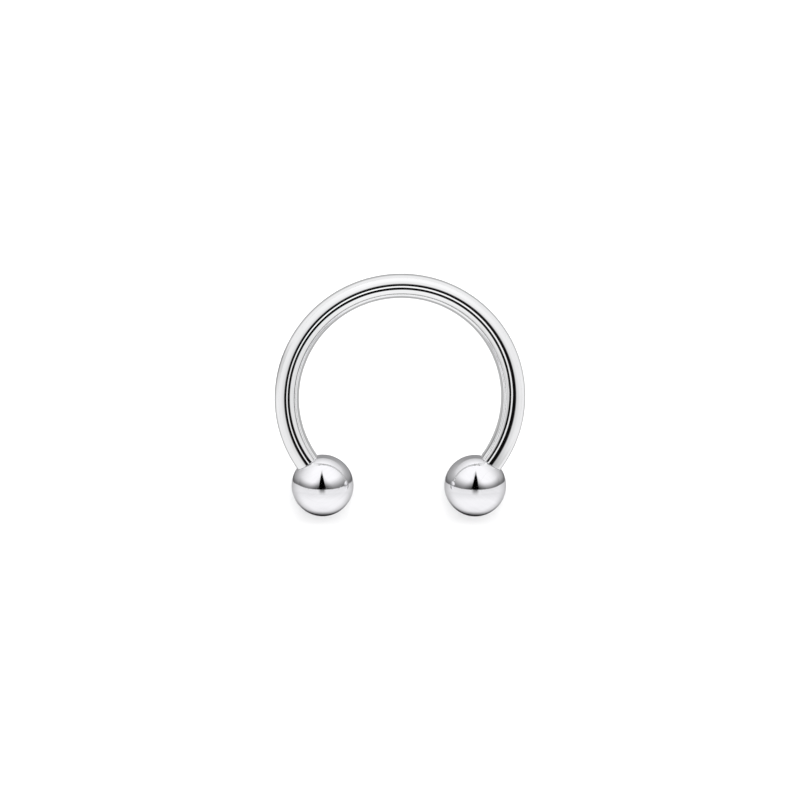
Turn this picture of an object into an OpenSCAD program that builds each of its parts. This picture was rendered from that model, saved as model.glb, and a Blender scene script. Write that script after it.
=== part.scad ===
// Horseshoe barbell: a round steel bar bent to a horseshoe, with a ball screwed
// on each end. It lies as it rests by itself, on both balls and on the middle
// of its bend. Millimetres, Z up, with the origin on the surface that it lies
// on, under the middle of its outline.

/* [Bar] */
// Thickness of the round bar
bar_d = 1.2; // [0.8:0.1:2]
// Inner diameter of the bend
inner_d = 10; // [8:0.5:16]
// How far from the middle of the opening the bend stops, in degrees
open_angle = 57; // [45:1:80]
// Straight length between the bend and the ball
neck_l = 0.28; // [0.1:0.01:2]
// How much thinner than the bar the straight end is turned, on the radius
turned_step = 0.005; // [0.002:0.001:0.02]
// Bevel round the shoulder that faces the ball
shoulder_bevel = 0.03; // [0.01:0.01:0.05]

/* [Balls] */
// Diameter of each ball
ball_d = 3.07; // [2.6:0.01:5]
// How far the flat on each ball stands out round the bar
flat_rim = 0.11; // [0.02:0.01:0.2]
// Running gap between the bar's shoulder and the ball's flat
seat_gap = 0.02; // [0.01:0.01:0.1]
// Metal left between the hole's end and the ball's far side
far_wall = 0.7; // [0.3:0.05:1]
// Bevel round the mouth of the hole
mouth_bevel = 0.04; // [0.01:0.01:0.06]

/* [Thread] */
// Step from the bar's side down to the crest of the thread
shoulder_w = 0.12; // [0.1:0.01:0.2]
// Height of the thread's ridges
ridge_h = 0.08; // [0.04:0.01:0.12]
// Distance from one ridge to the next
ridge_pitch = 0.25; // [0.15:0.01:0.4]
// Flat left on each crest
crest_l = 0.04; // [0.01:0.01:0.06]
// Plain groove between the shoulder and the first ridge
relief_l = 0.15; // [0.05:0.01:0.3]
// Play between the crests and the ball's bore, on the radius
thread_play = 0.02; // [0.01:0.01:0.05]
// Spare depth in the hole past the threaded end
hole_spare = 0.25; // [0.1:0.01:0.4]

/* [Hidden] */
$fn = 96;
left = -1;
right = 1;

// Radii of the bar, its turned neck, the bend's centre line, the ball and the
// ball's flat
bar_r = bar_d / 2;
neck_r = bar_r - turned_step;
bend_r = inner_d / 2 + bar_r;
ball_r = ball_d / 2;
flat_r = bar_r + flat_rim;

// From the ball's centre back to its flat, and the hole's depth from the flat
flat_h = sqrt(ball_r ^ 2 - flat_r ^ 2);
hole_l = flat_h + ball_r - far_wall;

// The turned end starts inside the bend, so that both are one piece
root_l = 0.05;

// Thread on the bar's ends, and the bore that takes it
crest_r = bar_r - shoulder_w;
root_r = crest_r - ridge_h;
bore_r = crest_r + thread_play;
stub_l = seat_gap + hole_l - hole_spare;
ridge_l = crest_l + 2 * ridge_h;
ridges = floor((stub_l - relief_l) / ridge_pitch);

// From the bend's end to the ball's centre, and from the bend's centre down
// to the line through both balls' centres
ball_reach = neck_l + seat_gap + flat_h;
ball_drop = bend_r * cos(open_angle) + ball_reach * sin(open_angle);

// The bend's plane leans until the bar touches the surface as the balls do
rest_tilt = asin((ball_r - bar_r) / (bend_r + ball_drop));
centre_z = bar_r + bend_r * sin(rest_tilt);
centre_y = ((ball_drop - bend_r) * cos(rest_tilt) + ball_r - bar_r) / 2;

// Leans and lifts the children from the bend's own plane to where they rest
module resting() {
    translate([0, centre_y, centre_z])
        rotate([-rest_tilt, 0, 0])
            children();
}

// Puts the children on one end of the bend, with +Z along its straight end
module at_end(side) {
    end_angle = side * open_angle - 90;
    translate([bend_r * cos(end_angle), bend_r * sin(end_angle), 0])
        rotate([0, 90, side * (open_angle - 90) - 90])
            children();
}

// Outline of one ridge, from root to root, starting at height z
function ridge(z) = [
    [root_r, z],
    [crest_r, z + ridge_h],
    [crest_r, z + ridge_h + crest_l],
    [root_r, z + ridge_l],
];

// One straight end: the neck, its shoulder and the threaded stub, turned
module straight_end() {
    stub_end = neck_l + stub_l;
    first_ridge = neck_l + relief_l;
    rotate_extrude()
        polygon([
            [0, -root_l],
            [neck_r, -root_l],
            [neck_r, neck_l - shoulder_bevel],
            [neck_r - shoulder_bevel, neck_l],
            [root_r, neck_l],
            for (i = [0 : ridges - 1]) each ridge(first_ridge + i * ridge_pitch),
            [root_r, stub_end],
            [0, stub_end],
        ]);
}

// A ball about its own centre, with its flat and its blind hole facing -Z
module ball() {
    difference() {
        sphere(r = ball_r);
        translate([0, 0, -flat_h - ball_r])
            cylinder(h = ball_r, r = ball_r);
        translate([0, 0, -flat_h])
            cylinder(h = hole_l, r = bore_r);
        translate([0, 0, -flat_h])
            cylinder(h = mouth_bevel, r1 = bore_r + mouth_bevel, r2 = bore_r);
    }
}

module bar() {
    color("silver")
        resting() {
            rotate_extrude(angle = 360 - 2 * open_angle, start = open_angle - 90)
                translate([bend_r, 0])
                    circle(r = bar_r);
            for (side = [left, right])
                at_end(side)
                    straight_end();
        }
}

module ball_on(side) {
    color("gainsboro")
        resting()
            at_end(side)
                translate([0, 0, ball_reach])
                    ball();
}

module ball_left() {
    ball_on(left);
}

module ball_right() {
    ball_on(right);
}

bar();
ball_left();
ball_right();
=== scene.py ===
"""The looks of a horseshoe barbell: a polished steel bar with a ball screwed on each end.

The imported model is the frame. Each of its three solids gets a finer skin in the same place: the bar
with its cut thread, and the two balls with their tapped holes. Lengths are in millimetres until a
mesh is made, and in metres after that.
"""
import math

import bpy
import numpy as np
from mathutils import Matrix, Vector


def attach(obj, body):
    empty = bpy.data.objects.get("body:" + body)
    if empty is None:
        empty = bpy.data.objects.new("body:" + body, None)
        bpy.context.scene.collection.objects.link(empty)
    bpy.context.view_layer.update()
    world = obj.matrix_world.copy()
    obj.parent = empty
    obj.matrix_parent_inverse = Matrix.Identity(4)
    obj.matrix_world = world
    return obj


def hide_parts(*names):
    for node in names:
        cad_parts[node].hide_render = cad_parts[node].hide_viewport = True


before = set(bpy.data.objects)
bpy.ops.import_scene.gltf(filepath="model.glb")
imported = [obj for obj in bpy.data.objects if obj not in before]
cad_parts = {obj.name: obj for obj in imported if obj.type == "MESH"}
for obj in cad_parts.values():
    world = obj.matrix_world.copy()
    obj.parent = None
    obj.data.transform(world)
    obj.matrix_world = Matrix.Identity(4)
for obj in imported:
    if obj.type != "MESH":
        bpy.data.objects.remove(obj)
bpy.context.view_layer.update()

MM = 0.001
DEGREES = math.degrees(1)
UP = np.array([0, 0, 1.0])

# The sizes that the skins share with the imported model, in millimetres and degrees
BAR_D = 1.2
INNER_D = 10.0
OPEN_ANGLE = 57.0
NECK_L = 0.28
BALL_D = 3.07
FLAT_RIM = 0.11
SEAT_GAP = 0.02
FAR_WALL = 0.7
MOUTH_BEVEL = 0.04
SHOULDER_W = 0.12
RIDGE_H = 0.08
RIDGE_PITCH = 0.25
RELIEF_L = 0.15
THREAD_PLAY = 0.02
HOLE_SPARE = 0.25

# Finer sizes of the skins, in millimetres: how far the shoulder reaches into the gap at the seat,
# the roundings of the bar's shoulder, hollow and tip and of the ball's rim, the length over which
# the thread fades in and out, the length of the cone that the drill left, the depths under the
# bar's side where the cut finish starts and is full, and how wide the wear of an edge is
SEAT_REACH = 0.016
SHOULDER_ROUND = 0.012
HOLLOW_ROUND = 0.03
TIP_ROUND = 0.03
RIM_ROUND = 0.02
RIDGE_FADE = 0.12
DRILL_TIP = 0.3
CUT_START = 0.04
CUT_FULL = 0.08
WEAR_WIDTH = 0.03

# The depth of the groove in the bore, as a share of the thread's height
GROOVE_SHARE = 0.8

# What follows from them
BAR_R = BAR_D / 2
BEND_R = INNER_D / 2 + BAR_R
BALL_R = BALL_D / 2
FLAT_R = BAR_R + FLAT_RIM
FLAT_H = math.sqrt(BALL_R**2 - FLAT_R**2)
HOLE_L = FLAT_H + BALL_R - FAR_WALL
CREST_R = BAR_R - SHOULDER_W
ROOT_R = CREST_R - RIDGE_H
BORE_R = CREST_R + THREAD_PLAY
STUB_L = SEAT_GAP + HOLE_L - HOLE_SPARE
BALL_REACH = NECK_L + SEAT_GAP + FLAT_H
OPEN = math.radians(OPEN_ANGLE)
BALL_DROP = BEND_R * math.cos(OPEN) + BALL_REACH * math.sin(OPEN)
REST_TILT = math.asin((BALL_R - BAR_R) / (BEND_R + BALL_DROP))
REST_TURN = Matrix.Rotation(-REST_TILT, 3, "X")
CENTRE_Z = BAR_R + BEND_R * math.sin(REST_TILT)
CENTRE_Y = ((BALL_DROP - BEND_R) * math.cos(REST_TILT) + BALL_R - BAR_R) / 2

# The camera: how far it stands from the bend's centre, how it turns, leans and rolls from a
# straight look down on the bend, and where the bend's centre and each millimetre land in the
# picture
PICTURE_PX = 800
CAMERA_MM = 200.0
CAMERA_TURN = math.radians(-3.33)
CAMERA_LEAN = math.radians(11.06)
CAMERA_ROLL = math.radians(-0.79)
PX_PER_MM = 20.24
CENTRE_PX = (400.19, 397.63)
SENSOR_MM = 36.0

# The steel: its colour, the scales of its cloudy patches and its grain, per metre, and the
# height of its relief, in metres
STEEL_TINT = (0.93, 0.93, 0.94)
CLOUD_SCALE = 420.0
GRAIN_SCALE = 6500.0
RELIEF_HEIGHT = 1.4e-6

# The floor: the share of light that it gives back, and half its side, in metres
FLOOR_WHITE = 0.87
FLOOR_HALF = 1.5


def rest_points(points):
    """Points of the bend's own plane (x across, y towards its middle, z out of it), leant and
    lifted to where the barbell rests."""
    return np.asarray(points, float) @ np.array(REST_TURN).T + [0, CENTRE_Y, CENTRE_Z]


def blend_step(x, low, high):
    """0 below low, 1 above high, and the smooth cubic between."""
    t = np.clip((x - low) / (high - low), 0, 1)
    return t * t * (3 - 2 * t)


def spaced(start, end, step):
    """Stations from start to end, both included, no further apart than step."""
    return np.linspace(start, end, max(2, math.ceil(abs(end - start) / step) + 1))


def rounded_corner(before, corner, after, radius, steps=6):
    """The arc that rounds a corner of an outline. Its middle lies on the line that halves the
    corner, `radius` away from both sides, and the arc swings from the foot of one side's normal
    to the foot of the other's."""
    before, corner, after = (np.asarray(p, float) for p in (before, corner, after))
    a = (before - corner) / np.linalg.norm(before - corner)
    b = (after - corner) / np.linalg.norm(after - corner)
    half = math.acos(np.clip(a @ b, -1, 1)) / 2
    reach = radius / math.tan(half)
    middle = corner + (a + b) / np.linalg.norm(a + b) * radius / math.sin(half)
    start, end = corner + a * reach - middle, corner + b * reach - middle
    t = np.linspace(0, 1, steps + 1)[:, None]
    swing = math.pi - 2 * half
    return middle + (np.sin((1 - t) * swing) * start + np.sin(t * swing) * end) / math.sin(swing)


def thread_height(along, turn, start, end, fade):
    """Height of a screw thread, 0 at its root and 1 at its crest: a trapezium wave of (distance
    along / pitch - turns round), so that the ridge climbs one pitch a turn, faded in and out at
    its two ends. The wave is a triangle that would peak over 1, cut off at 1 and at 0."""
    flank_slope = 5.2
    peak = 1.5
    phase = (along / RIDGE_PITCH - turn) % 1
    wave = np.clip(peak - np.abs(phase - 0.5) * flank_slope, 0, 1)
    return wave * blend_step(along, start, start + fade) * (1 - blend_step(along, end - fade, end))


def closed_mesh(name, rings):
    """A closed mesh over an array of rings (rings x points x 3, in millimetres): quads between
    neighbours, each ring closed on itself, and a fan to the middle of the first and last ring."""
    count, around, _ = rings.shape
    points = np.concatenate([rings.reshape(-1, 3), [rings[0].mean(0), rings[-1].mean(0)]])
    row = np.arange(count - 1)[:, None] * around
    here = np.arange(around)
    there = (here + 1) % around
    quads = np.stack([row + here, row + there, row + around + there, row + around + here], -1)
    last = (count - 1) * around
    first_pole = np.full(around, count * around)
    first_fan = np.stack([there, here, first_pole], -1)
    last_fan = np.stack([last + here, last + there, first_pole + 1], -1)
    mesh = bpy.data.meshes.new(name)
    faces = quads.reshape(-1, 4).tolist() + first_fan.tolist() + last_fan.tolist()
    mesh.from_pydata(points * MM, [], faces)
    mesh.shade_smooth()
    return mesh


def add_object(name, mesh, material):
    """An object with one material, linked into the scene."""
    mesh.materials.append(material)
    thing = bpy.data.objects.new(name, mesh)
    bpy.context.scene.collection.objects.link(thing)
    return thing


def note_on_surface(mesh, key, values):
    """Keeps an array of values (rings x points x 3) on a closed mesh, as an attribute that its
    material reads. The two poles take the means of their rings."""
    ends = np.stack([values[0].mean(0), values[-1].mean(0)])
    layer = mesh.attributes.new(key, "FLOAT_VECTOR", "POINT")
    layer.data.foreach_set("vector", np.concatenate([values.reshape(-1, 3), ends]).ravel())


def end_outline():
    """Outline of one straight end from the bend outwards, as (distance from the bend's end,
    radius). The neck runs to a rounded shoulder, steps down to the thread's core and goes on to
    a rounded tip. The shoulder reaches nearly to the ball, as when it is screwed tight."""
    soft = HOLLOW_ROUND
    seat = NECK_L + SEAT_REACH
    tip = NECK_L + STUB_L
    tip_r = ROOT_R - TIP_ROUND
    neck_step = 0.05
    core_step = RIDGE_PITCH / 16
    neck = [(z, BAR_R) for z in spaced(0, NECK_L - 3 * soft, neck_step)[1:]]
    shoulder = rounded_corner((0, BAR_R), (seat, BAR_R), (seat, 0), SHOULDER_ROUND)
    face = [(seat, r) for r in np.linspace(BAR_R - 2 * soft, ROOT_R + 2 * soft, 4)]
    hollow = rounded_corner((seat, BAR_R), (seat, ROOT_R), (tip, ROOT_R), soft)
    core = [(z, ROOT_R) for z in spaced(seat + 2 * soft, tip - 2 * TIP_ROUND, core_step)]
    rounding = rounded_corner((NECK_L, ROOT_R), (tip, tip_r), (tip, 0), TIP_ROUND)
    cap = [(tip, r) for r in np.linspace(tip_r - 2 * TIP_ROUND, TIP_ROUND, 5)]
    return np.array([*neck, *shoulder, *face, *hollow, *core, *rounding, *cap])


def bar_skin(material, around=112, step=0.06):
    """The bar as one profile carried along one path. The path is the bend's arc with a straight
    line at each end. The profile is a circle whose radius follows end_outline on the lines, with
    the thread's height added on the stub."""
    outline = end_outline()
    arc_l = BEND_R * (2 * math.pi - 2 * OPEN)
    arc = spaced(0, arc_l, step)
    along = np.concatenate([-outline[::-1, 0], arc, arc_l + outline[:, 0]])
    radius = np.concatenate([outline[::-1, 1], np.full(len(arc), BAR_R), outline[:, 1]])
    past = np.maximum(-along, along - arc_l)[:, None]
    side = np.where(along > arc_l / 2, 1.0, -1.0)[:, None]
    angle = math.radians(270) - OPEN - np.clip(along, 0, arc_l) / BEND_R
    out = np.stack([np.cos(angle), np.sin(angle), 0 * angle], -1)
    onward = np.stack([np.sin(angle), -np.cos(angle), 0 * angle], -1)
    middle = BEND_R * out + side * np.maximum(past, 0) * onward

    turn = np.arange(around) / around
    ridge_start = NECK_L + RELIEF_L
    ridge_end = NECK_L + STUB_L - TIP_ROUND
    ridge = thread_height(past, side * turn, ridge_start, ridge_end, RIDGE_FADE)
    r = radius[:, None] + RIDGE_H * ridge
    theta = 2 * math.pi * turn
    ring = np.cos(theta)[:, None] * out[:, None] + np.sin(theta)[:, None] * UP
    mesh = closed_mesh("polished_bar", rest_points(middle[:, None] + r[..., None] * ring))

    cut = blend_step(BAR_R - r, CUT_START, CUT_FULL)
    worn = np.exp(-(((past - NECK_L) / WEAR_WIDTH) ** 2)) * (1 - cut)
    lay = np.stack([along[:, None] + 0 * r, r * np.cos(theta), r * np.sin(theta)], -1)
    note_on_surface(mesh, "finish", np.stack([cut, worn, 0 * r], -1))
    note_on_surface(mesh, "lay", lay)
    return add_object("polished_bar", mesh, material)


def ball_outline():
    """Outline of a ball from its far pole to the end of its hole, as (height along the hole's
    axis from the ball's middle, radius): the sphere, the rounded rim of the flat, the flat, the
    bevelled mouth, the bore and the cone that the drill left."""
    rim = math.asin(FLAT_R / BALL_R)
    pole_gap, rim_gap, step = 0.012, 0.03, 0.018
    angles = spaced(pole_gap, math.pi - rim - rim_gap, step)
    sphere = BALL_R * np.stack([np.cos(angles), np.sin(angles)], -1)
    corner = np.array([-FLAT_H, FLAT_R])
    up_the_sphere = corner + np.array([math.sin(rim), math.cos(rim)])
    rim_arc = rounded_corner(up_the_sphere, corner, (-FLAT_H, 0), RIM_ROUND)
    mouth_r = BORE_R + MOUTH_BEVEL
    bore_start = -FLAT_H + MOUTH_BEVEL
    mouth_edge = (-FLAT_H, mouth_r)
    mouth = rounded_corner(corner, mouth_edge, (bore_start, BORE_R), RIM_ROUND / 2, steps=3)
    drill_end = -FLAT_H + HOLE_L
    bore_end = drill_end - DRILL_TIP
    bore = [(z, BORE_R) for z in spaced(bore_start, bore_end, RIDGE_PITCH / 14)]
    shares = np.linspace(0.95, 0.06, 6)
    cone = [(drill_end - DRILL_TIP * share, BORE_R * share) for share in shares]
    return np.array([*sphere, *rim_arc, *mouth, *bore, *cone])


def ball_place(side):
    """The middle of a ball in the bend's own plane, and the axis of its hole: past the end of
    the bend, along the line that the bend runs out in."""
    end = side * OPEN - math.pi / 2
    axis = np.array([side * math.sin(end), -side * math.cos(end), 0])
    return BEND_R * np.array([math.cos(end), math.sin(end), 0]) + BALL_REACH * axis, axis


def ball_skin(name, side, material, around=176):
    """One ball: ball_outline turned about the axis of the hole, with the groove of the thread
    cut into the bore."""
    outline = ball_outline()
    height, radius = outline[:, :1], outline[:, 1:]
    bore_start = -FLAT_H + MOUTH_BEVEL
    bore_end = -FLAT_H + HOLE_L - DRILL_TIP
    in_bore = (radius <= BORE_R) & (height > bore_start) & (height < bore_end)
    turn = np.arange(around) / around
    groove = thread_height(height, -side * turn, bore_start, bore_end, RIDGE_FADE)
    r = radius + np.where(in_bore, GROOVE_SHARE * RIDGE_H * groove, 0)
    theta = 2 * math.pi * turn
    local = np.stack([r * np.cos(theta), r * np.sin(theta), height + 0 * r], -1)
    middle, axis = ball_place(side)
    axes = np.stack([UP, np.cross(axis, UP), axis])
    mesh = closed_mesh(name, rest_points(middle + local @ axes))

    cut = in_bore + 0 * r
    from_rim = np.hypot(height + FLAT_H, r - FLAT_R)
    worn = np.exp(-((from_rim / WEAR_WIDTH) ** 2)) * (1 - cut)
    note_on_surface(mesh, "finish", np.stack([cut, worn, 0 * r], -1))
    note_on_surface(mesh, "lay", local)
    return add_object(name, mesh, material)


class Wire:
    """A shader socket with arithmetic, so that a pattern reads as a formula: each operation adds
    its Math node."""

    def __init__(self, sh, socket):
        self.sh = sh
        self.socket = socket

    def __add__(self, other):
        return self.sh.math("ADD", self, other)

    def __sub__(self, other):
        return self.sh.math("SUBTRACT", self, other)

    def __rsub__(self, other):
        return self.sh.math("SUBTRACT", other, self)

    def __mul__(self, other):
        return self.sh.math("MULTIPLY", self, other)

    def __truediv__(self, other):
        return self.sh.math("DIVIDE", self, other)

    def __rtruediv__(self, other):
        return self.sh.math("DIVIDE", other, self)

    def __abs__(self):
        return self.sh.math("ABSOLUTE", self)

    __radd__ = __add__
    __rmul__ = __mul__


class Shader:
    """A node tree being written. Every node comes from node()."""

    def __init__(self, owner):
        owner.use_nodes = True
        self.tree = owner.node_tree
        self.tree.nodes.clear()

    def node(self, kind, settings=None, sockets=None, output=0):
        """Adds a node: its settings first, then for each socket, by name or number, a value or a
        link. Returns the wire from one of its outputs."""
        added = self.tree.nodes.new(kind)
        for key, value in (settings or {}).items():
            setattr(added, key, value)
        for key, value in (sockets or {}).items():
            if isinstance(value, Wire):
                self.tree.links.new(value.socket, added.inputs[key])
            else:
                added.inputs[key].default_value = value
        return Wire(self, added.outputs[output]) if added.outputs else None

    def math(self, operation, *values):
        return self.node("ShaderNodeMath", {"operation": operation}, dict(enumerate(values)))

    def vector_math(self, operation, *values):
        sockets = dict(enumerate(values))
        return self.node("ShaderNodeVectorMath", {"operation": operation}, sockets)

    def parts(self, vector):
        """The x, y and z of a vector."""
        first = self.node("ShaderNodeSeparateXYZ", None, {"Vector": vector})
        return [Wire(self, socket) for socket in first.socket.node.outputs]

    def ease(self, value, between, levels=(0.0, 1.0)):
        """The first level up to the start of a range, the second past its end, and a smooth step
        over the range."""
        sockets = {
            "Value": value,
            "From Min": between[0],
            "From Max": between[1],
            "To Min": levels[0],
            "To Max": levels[1],
        }
        return self.node("ShaderNodeMapRange", {"interpolation_type": "SMOOTHSTEP"}, sockets)

    def noise(self, vector, scale, detail, roughness):
        sockets = {"Vector": vector, "Scale": scale, "Detail": detail, "Roughness": roughness}
        return self.node("ShaderNodeTexNoise", None, sockets)

    def colour(self, share, first, second, clamp=True):
        """The colour that lies at a share of the way between two. The Mix node has its colours at
        sockets 6 and 7 and its mixed colour at output 2."""
        settings = {"data_type": "RGBA", "clamp_factor": clamp}
        return self.node("ShaderNodeMix", settings, {0: share, 6: (*first, 1), 7: (*second, 1)}, 2)

    def attribute(self, name):
        return self.node("ShaderNodeAttribute", {"attribute_name": name}, None, "Vector")

    def place(self):
        """Where a point is on its own object, in metres."""
        return self.node("ShaderNodeTexCoord", None, None, "Object")

    def surface(self, wire):
        self.node("ShaderNodeOutputMaterial", None, {"Surface": wire})


def steel(name, line_factors, scratch_turn, scratch_factors):
    """Mirror-polished surgical steel, a little uneven as a real one is: cloudy patches left by
    handling, fine lines that run with the polishing, a few thin scratches, duller faces where
    the thread is left as cut, and a worn shine on the shoulder and the rim. The factors say how
    fast the lines and scratches change along each direction of the work, per millimetre."""
    material = bpy.data.materials.new(name)
    sh = Shader(material)
    place, lay = sh.place(), sh.attribute("lay")
    cut, worn, _ = sh.parts(sh.attribute("finish"))

    # Each noise lies about 0.5. The scratches run where their own noise crosses that, and only
    # in some of the cloudy patches
    clouds = sh.noise(place, CLOUD_SCALE, 4.0, 0.55)
    grain = sh.noise(place, GRAIN_SCALE, 2.0, 0.5)
    lines = sh.noise(sh.vector_math("MULTIPLY", lay, line_factors), 1.0, 3.0, 0.6)
    sockets = {"Vector": lay, "Rotation": scratch_turn}
    turned = sh.node("ShaderNodeVectorRotate", {"rotation_type": "EULER_XYZ"}, sockets)
    scratch_field = sh.noise(sh.vector_math("MULTIPLY", turned, scratch_factors), 1.0, 1.0, 0.4)
    scratches = sh.ease(abs(scratch_field - 0.5), (0.0, 0.014), (1.0, 0.0))
    scratches = scratches * sh.ease(clouds, (0.5, 0.62))

    # How far the colour lies from the darkest to the lightest steel
    share = (clouds - 0.5) * 0.9 + (lines - 0.5) * 0.7 + 0.5
    share = share - scratches * 0.25 - cut * 0.45 + worn * 0.2
    dark, light = ([min(1.0, c * level) for c in STEEL_TINT] for level in (0.93, 1.05))
    rough = (lines - 0.5) * 0.05 + (clouds - 0.5) * 0.05 + 0.055
    rough = rough + scratches * 0.05 + cut * 0.17 + worn * 0.06
    relief = lines * 0.5 + grain * 0.2 - scratches * 0.3
    sockets = {"Strength": 1.0, "Distance": RELIEF_HEIGHT, "Height": relief}
    sockets = {
        "Base Color": sh.colour(share, dark, light),
        "Roughness": rough,
        "Metallic": 1.0,
        "Normal": sh.node("ShaderNodeBump", None, sockets),
    }
    sh.surface(sh.node("ShaderNodeBsdfPrincipled", None, sockets))
    return material


def camera_at_photo_angle():
    """The camera of the photograph: turned, leant and rolled from a straight look down on the
    bend's own plane, and then leant with it."""
    turned = (
        Matrix.Rotation(CAMERA_TURN, 3, "Y")
        @ Matrix.Rotation(-CAMERA_LEAN, 3, "X")
        @ Matrix.Rotation(-CAMERA_ROLL, 3, "Z")
    )
    middle = PICTURE_PX / 2
    off_x = (CENTRE_PX[0] - middle) / PX_PER_MM
    off_y = (middle - CENTRE_PX[1]) / PX_PER_MM
    place = Vector(rest_points(turned @ Vector((-off_x, -off_y, CAMERA_MM)))) * MM
    data = bpy.data.cameras.new("photo_camera")
    data.sensor_width = SENSOR_MM
    data.lens = PX_PER_MM * CAMERA_MM * SENSOR_MM / PICTURE_PX
    data.clip_start = 0.002
    data.clip_end = 20.0
    camera = bpy.data.objects.new("photo_camera", data)
    camera.matrix_world = Matrix.Translation(place) @ (REST_TURN @ turned).to_4x4()
    bpy.context.scene.collection.objects.link(camera)
    bpy.context.scene.camera = camera


def group(name, things):
    """A collection that a light names, outside the scene."""
    collection = bpy.data.collections.new(name)
    for thing in things:
        collection.objects.link(thing)
    return collection


def flat_square(name, half):
    """A level square round the origin; half is half its side, in metres."""
    mesh = bpy.data.meshes.new(name)
    corners = [(-half, -half, 0), (half, -half, 0), (half, half, 0), (-half, half, 0)]
    mesh.from_pydata(corners, [], [(0, 1, 2, 3)])
    return mesh


def glowing_screen(name, mesh, pattern, tint, lit):
    """A see-through screen of the studio that glows as its pattern says, for the given pieces
    alone. It casts no shadow and the camera doesn't see it. The pattern takes the shader and the
    screen's own coordinates, and returns the brightness."""
    material = bpy.data.materials.new(name)
    material.cycles.emission_sampling = "NONE"
    sh = Shader(material)
    shine = sh.colour(pattern(sh, sh.place()), (0, 0, 0), tint, clamp=False)
    emission = sh.node("ShaderNodeEmission", None, {"Color": shine})
    clear = sh.node("ShaderNodeBsdfTransparent")
    sh.surface(sh.node("ShaderNodeAddShader", None, {0: emission, 1: clear}))
    screen = add_object(name, mesh, material)
    screen.visible_camera = False
    screen.visible_shadow = False
    screen.light_linking.receiver_collection = group(name + "_lights", lit)
    return screen


# The tent round each ball, rolled a little against the bend as the studio was: its radius in
# millimetres, and how far its dark spike is turned from the front, in degrees
TENT_RADIUS = 500.0
TENT_ROLL = math.radians(0.76)
TENT_TINT = (0.985, 0.98, 1.0)
SPIKE_TURN = -3.6


def tent_pattern(sh, place, side):
    """What a ball mirrors, by the height over the plane across the opening and by the turn from
    the front, both in degrees. Below lies a pale table. Above stands a tent wall that grows from
    grey to white, with a dark spike at the front where it is open and a grey stretch behind. The
    ball's own foot is dark."""
    x, y, z = sh.parts(sh.vector_math("NORMALIZE", place))
    height = sh.math("ARCSINE", y) * DEGREES
    turn = sh.math("ARCTAN2", x, z) * DEGREES
    back = abs(turn)
    outward = turn * side

    # The table's edge lies a little under the plane, and lower behind
    edge = sh.ease(back, (30, 100), (-3.3, -1.5)) + sh.ease(back, (100, 170), (0, -6))
    rise = height - edge

    # The wall turns white over a shorter height on the ball's outer side
    reach = sh.ease(outward, (-80, 80), (40, 25.5))
    wall = sh.ease(rise / reach, (0, 1), (0.22, 1.06))

    # The spike has a crisp core that narrows upwards and leans outward, and a broad soft skirt
    middle = sh.math("MAXIMUM", height - 10, 0) * (0.059 * side) + SPIKE_TURN
    off = abs(turn - middle)
    core = sh.ease(off + height * 0.15, (12, 14.3))
    skirt = sh.ease(off + height * 0.78, (1, 53))
    wall = wall * (1 - (1 - core * skirt) * sh.ease(height, (43, 80), (1, 0)))

    # Behind, a grey arch stands before a paler distance, and both are darker low down
    distance = height * 0.014 - 0.014
    across, up = (180 - back) / 78, height / 45
    arch = sh.ease(sh.math("SQRT", across * across + up * up), (0.97, 1.03), (1, 0))
    behind = (distance + (0.33 - distance) * arch) * sh.ease(rise, (1, 10.5), (0.32, 1))
    wall = wall + (behind - wall) * sh.ease(back, (43, 179))

    # The table is palest well below, with a faint line across, the spike's soft image in it and a
    # dimmer back
    table = sh.ease(rise, (-14, 0), (0.88, 0.83)) + sh.ease(rise, (-45, -20), (0.12, 0))
    table = table - sh.ease(rise, (-85, -60), (0.06, 0))
    table = table - sh.ease(abs(rise + 18), (0, 5), (0.035, 0))
    image = sh.ease(abs(turn - SPIKE_TURN), (3, 17), (0.75, 0)) * sh.ease(rise, (-24, 1))
    dim = sh.ease(back, (88, 165)) * sh.ease(height, (-90, -50), (0, 0.4))
    table = table * (1 - image) * (1 - dim)
    both = table + (wall - table) * sh.ease(rise, (-0.6, 0.6))

    # The foot lies low at the back
    foot = sh.ease(height, (-86, -34)) * sh.ease(height, (-34, -19), (1.12, 0))
    foot = foot * sh.ease(back, (137, 176))
    return both * sh.math("MAXIMUM", 1 - foot, 0)


def ball_tent(ball, side, rings=24, around=48):
    """A ball-shaped tent round one ball, leant as the bend is: circles of latitude, one above
    the other."""
    angle = np.linspace(-math.pi / 2, math.pi / 2, rings + 2)[1:-1, None]
    turn = np.arange(around) * 2 * math.pi / around
    across = np.cos(angle)
    circles = np.stack([across * np.cos(turn), across * np.sin(turn), np.sin(angle) + 0 * turn], -1)
    name = ball.name + "_tent"
    mesh = closed_mesh(name, TENT_RADIUS * circles)

    def pattern(sh, place):
        return tent_pattern(sh, place, side)

    tent = glowing_screen(name, mesh, pattern, TENT_TINT, [ball])
    turned = (REST_TURN @ Matrix.Rotation(TENT_ROLL, 3, "Z")).to_4x4()
    middle, _ = ball_place(side)
    tent.matrix_world = Matrix.Translation(Vector(rest_points(middle)) * MM) @ turned


# The two screens over and under the bar: their heights in millimetres, and half a side in metres
OVER_BAR = 3.0
UNDER_BAR = -5.0
SCREEN_HALF = 4.0

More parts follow.
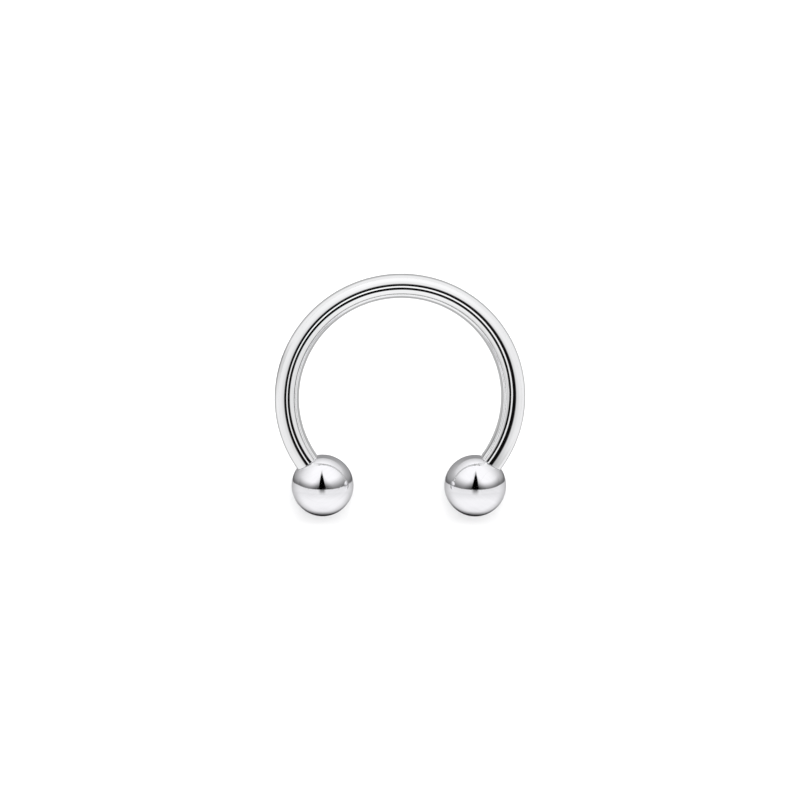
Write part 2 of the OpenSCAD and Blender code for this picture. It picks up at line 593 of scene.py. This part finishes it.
# The edges of the hoops on the upper screen from the outside in: mean radius, how much it swells
# towards +x and +y and is oval along the axes and the diagonals, and how soft the edge is, in
# millimetres. Within the hoops lies a dim patch, and its middle is given last
HOOP_EDGES = (
    dict(mean=6.85, right=-0.11, up=0.40, oval=0.12, slant=0.19, soft=0.34),
    dict(mean=5.45, right=-0.32, up=0.66, oval=0.14, slant=0.24, soft=0.06),
    dict(mean=4.84, right=-0.42, up=0.68, oval=0.18, slant=0.25, soft=0.06),
    dict(mean=3.55, right=-0.47, up=0.94, oval=0.31, slant=0.29, soft=0.20),
)
DIM_PATCH = (1.2, -2.0)


def around_bend(sh, place):
    """A place on a screen: x, y and distance from the middle in millimetres, and the cosine and
    sine of the direction."""
    x, y, _ = sh.parts(sh.vector_math("DIVIDE", place, (MM, MM, MM)))
    far = sh.math("SQRT", x * x + y * y + 0.0001)
    return x, y, far, x / far, y / far


def hoop_pattern(sh, place):
    """What the top of the bar mirrors: a pale screen with two dark hoops that follow the bend,
    and a bright one between them. Each edge is a circle with a swell to one side and an oval:
    radius = mean + right cos t + up sin t + oval cos 2t + slant sin 2t. The screen is dimmer
    beside the hoops, and where the bar's right end faces it."""
    x, y, far, c, s = around_bend(sh, place)
    c2, s2 = c * c - s * s, 2 * c * s
    within = []
    for edge in HOOP_EDGES:
        radius = edge["mean"] + edge["right"] * c + edge["up"] * s
        radius = radius + edge["oval"] * c2 + edge["slant"] * s2
        within.append(sh.ease(radius - far, (-edge["soft"], edge["soft"])))
    hoops = within[0] - within[1] + within[2] - within[3]

    # Dimmer close round the outer hoop, at the bar's right end, and within the hoops
    outside_dim = sh.ease(far, (6.6, 10.5), (0.16, 0)) * (1 - within[1])
    right_end = sh.ease(s, (-0.616, -0.454), (0.24, 0)) * sh.ease(c, (0.68, 0.78))
    right_end = right_end * (1 - within[0])
    off_x, off_y = x - DIM_PATCH[0], y - DIM_PATCH[1]
    from_patch = sh.math("SQRT", off_x * off_x + off_y * off_y)
    inside_dim = within[3] * (0.07 + sh.ease(from_patch, (0.4, 2.6), (0.33, 0)))

    level = 0.955 - 0.065 * c2 + 0.04 * s
    return level * (1 - outside_dim - inside_dim - right_end) * (1 - hoops * 0.995)


def under_pattern(sh, place):
    """What the sides of the bar mirror: pale outside, grey under the bend, and dim on the left,
    which the bar's right end faces."""
    _, _, far, c, s = around_bend(sh, place)
    level = sh.ease(far, (8.5, 16), (0.42, 0.92)) + sh.ease(far, (2, 6), (0.08, 0))
    left = sh.ease(c, (-0.985, -0.92), (1, 0)) * sh.ease(s, (-0.25, 0.2))
    return level * (1 - left * sh.ease(far, (8, 12), (0.5, 0.24)))


def bar_screen(name, height, pattern, bar):
    """A large flat screen parallel to the bend, at a height over its plane in millimetres."""
    screen = glowing_screen(name, flat_square(name, SCREEN_HALF), pattern, (1, 1, 1), [bar])
    place = Vector(rest_points((0, 0, height))) * MM
    screen.matrix_world = Matrix.Translation(place) @ REST_TURN.to_4x4()


def pale_floor():
    """A plain pale surface with the faintest mottling. The steel mirrors its own screens
    instead of it."""
    material = bpy.data.materials.new("pale_floor")
    sh = Shader(material)
    patches = sh.noise(sh.place(), 60.0, 3.0, 0.5)
    mottling = sh.colour(patches, (0.86, 0.86, 0.87), (0.88, 0.88, 0.88))
    sockets = {"Base Color": mottling, "Roughness": 0.6, "Specular IOR Level": 0.2}
    sh.surface(sh.node("ShaderNodeBsdfPrincipled", None, sockets))
    floor = add_object("pale_floor", flat_square("pale_floor", FLOOR_HALF), material)
    floor.visible_glossy = False
    return floor


def soft_light(name, floor, blockers, elevation, width, depth, strength):
    """A soft light for the floor, half a metre off on the +Y side, as many degrees up as its
    elevation says: width across, depth along the way it faces, in metres. Strength is how white
    it makes the floor, if it is small: 1 is just white. Blockers are the things that cast its
    shadow."""
    reach = 0.5
    lift = math.sin(math.radians(elevation))
    data = bpy.data.lights.new(name, "AREA")
    data.shape = "ELLIPSE"
    data.size = width
    data.size_y = depth
    data.energy = strength * math.pi**2 * reach**2 / (FLOOR_WHITE * lift)
    lamp = bpy.data.objects.new(name, data)
    lamp.location = Vector((0, math.cos(math.radians(elevation)), lift)) * reach
    lamp.rotation_euler = (math.radians(elevation - 90), 0, 0)
    lamp.visible_camera = False
    lamp.visible_glossy = False
    lamp.light_linking.receiver_collection = group(name + "_lights", [floor])
    lamp.light_linking.blocker_collection = group(name + "_shadows", blockers)
    bpy.context.scene.collection.objects.link(lamp)


def white_world():
    """White behind the floor for the camera alone; the screens give the steel its light."""
    world = bpy.data.worlds.new("white")
    bpy.context.scene.world = world
    sh = Shader(world)
    background = sh.node("ShaderNodeBackground", None, {"Color": (1, 1, 1, 1), "Strength": 1.0})
    sh.node("ShaderNodeOutputWorld", None, {"Surface": background})
    world.cycles_visibility.diffuse = False
    world.cycles_visibility.glossy = False
    world.cycles_visibility.transmission = False


drawn_steel = steel(
    "drawn_steel",
    line_factors=(0.25, 9.0, 9.0),
    scratch_turn=(0, 0, 0),
    scratch_factors=(0.08, 2.5, 2.5),
)
turned_steel = steel(
    "turned_steel",
    line_factors=(1.1, 1.1, 9.0),
    scratch_turn=(0.6, 0.9, 0),
    scratch_factors=(0.15, 0.15, 4.5),
)

bar = bar_skin(drawn_steel)
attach(bar, "bar")
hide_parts("bar")

balls = []
for side, node in ((-1, "ball_left"), (1, "ball_right")):
    ball = ball_skin("polished_" + node, side, turned_steel)
    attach(ball, node)
    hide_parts(node)
    ball_tent(ball, side)
    balls.append(ball)

floor = pale_floor()
bar_screen("screen_over_bar", OVER_BAR, hoop_pattern, bar)
bar_screen("screen_under_bar", UNDER_BAR, under_pattern, bar)
soft_light("all_round", floor, [floor], elevation=90.0, width=0.3, depth=0.3, strength=0.46)
soft_light("overhead", floor, [bar, *balls], elevation=73.0, width=0.3, depth=0.3, strength=0.27)
soft_light("from_beyond", floor, balls, elevation=56.0, width=1.2, depth=0.14, strength=0.9)
white_world()
camera_at_photo_angle()
bpy.context.scene.view_settings.view_transform = "Standard"
